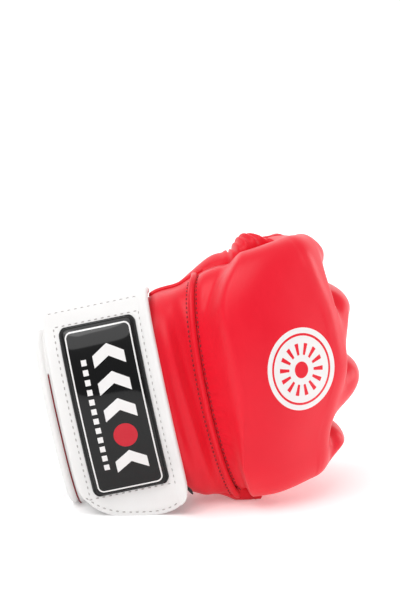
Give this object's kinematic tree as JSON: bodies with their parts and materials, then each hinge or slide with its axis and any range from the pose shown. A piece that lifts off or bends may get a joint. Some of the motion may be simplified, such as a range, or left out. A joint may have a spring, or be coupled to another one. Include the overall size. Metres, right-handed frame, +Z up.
{
  "type": "mma glove",
  "caption": "Right-hand open-palm fist glove with a padded back, four curled open finger stalls on knuckle hinges and a wrist strap that swings open.",
  "frame": {"origin": "on the floor under the hand axis, where the pad's lower edge rests", "axes": "+Z up, +X from the wrist towards the knuckles, -Y the back of the hand"},
  "size_m": [0.1488, 0.0935, 0.1203],
  "materials": {
    "red_leather": "semi gloss",
    "white_leather": "satin",
    "black_felt": "matt",
    "pad_foam": "matt",
    "touch_tape": "matt",
    "badge_backing": "matt",
    "badge_gloss": "gloss"
  },
  "bodies": {
    "hand": {"wrist_panel": "red_leather", "seam_welt": "red_leather", "back_shell": "red_leather", "top_piping": "red_leather", "index_side_panel": "red_leather", "little_side_panel": "red_leather", "palm_panel": "red_leather", "cuff": "white_leather", "cuff_rim": "white_leather", "cuff_hem": "white_leather", "strap_base": "white_leather", "thumb_binding": "white_leather", "palm_binding": "white_leather", "palm_bar": "white_leather", "cuff_lining": "black_felt", "hand_lining": "black_felt", "knuckle_foam": "pad_foam", "loop_patch": "touch_tape"},
    "index_finger": {"index_lining": "black_felt", "index_foam": "pad_foam", "index_shell": "red_leather", "index_under": "red_leather", "index_hem": "red_leather"},
    "middle_finger": {"middle_lining": "black_felt", "middle_foam": "pad_foam", "middle_shell": "red_leather", "middle_under": "red_leather", "middle_hem": "red_leather"},
    "ring_finger": {"ring_lining": "black_felt", "ring_foam": "pad_foam", "ring_shell": "red_leather", "ring_under": "red_leather", "ring_hem": "red_leather"},
    "little_finger": {"little_lining": "black_felt", "little_foam": "pad_foam", "little_shell": "red_leather", "little_under": "red_leather", "little_hem": "red_leather"},
    "strap": {"strap_tab": "white_leather", "strap_roll": "white_leather", "hook_patch": "touch_tape", "badge_base": "badge_backing", "badge_dome": "badge_gloss"}
  },
  "joints": [
    {"name": "index_knuckle", "type": "hinge", "parent": "hand", "child": "index_finger", "pos_m": [0.0233, -0.01512, 0.10432], "axis": [-0.2079, 0, 0.9781], "range_deg": [-35, 6], "stiffness_Nm_per_rad": 0.4},
    {"name": "middle_knuckle", "type": "hinge", "parent": "hand", "child": "middle_finger", "pos_m": [0.03258, -0.01474, 0.07715], "axis": [-0.2079, 0, 0.9781], "range_deg": [-35, 6], "stiffness_Nm_per_rad": 0.4},
    {"name": "ring_knuckle", "type": "hinge", "parent": "hand", "child": "ring_finger", "pos_m": [0.03683, -0.01493, 0.04892], "axis": [-0.2079, 0, 0.9781], "range_deg": [-35, 6], "stiffness_Nm_per_rad": 0.4},
    {"name": "little_knuckle", "type": "hinge", "parent": "hand", "child": "little_finger", "pos_m": [0.03018, -0.01634, 0.01837], "axis": [-0.2079, 0, 0.9781], "range_deg": [-35, 6], "stiffness_Nm_per_rad": 0.4},
    {"name": "strap_fold", "type": "hinge", "parent": "hand", "child": "strap", "pos_m": [-0.07295, -0.00756, 0.08847], "axis": [-0.9781, 0, -0.2079], "range_deg": [0, 100]}
  ]
}
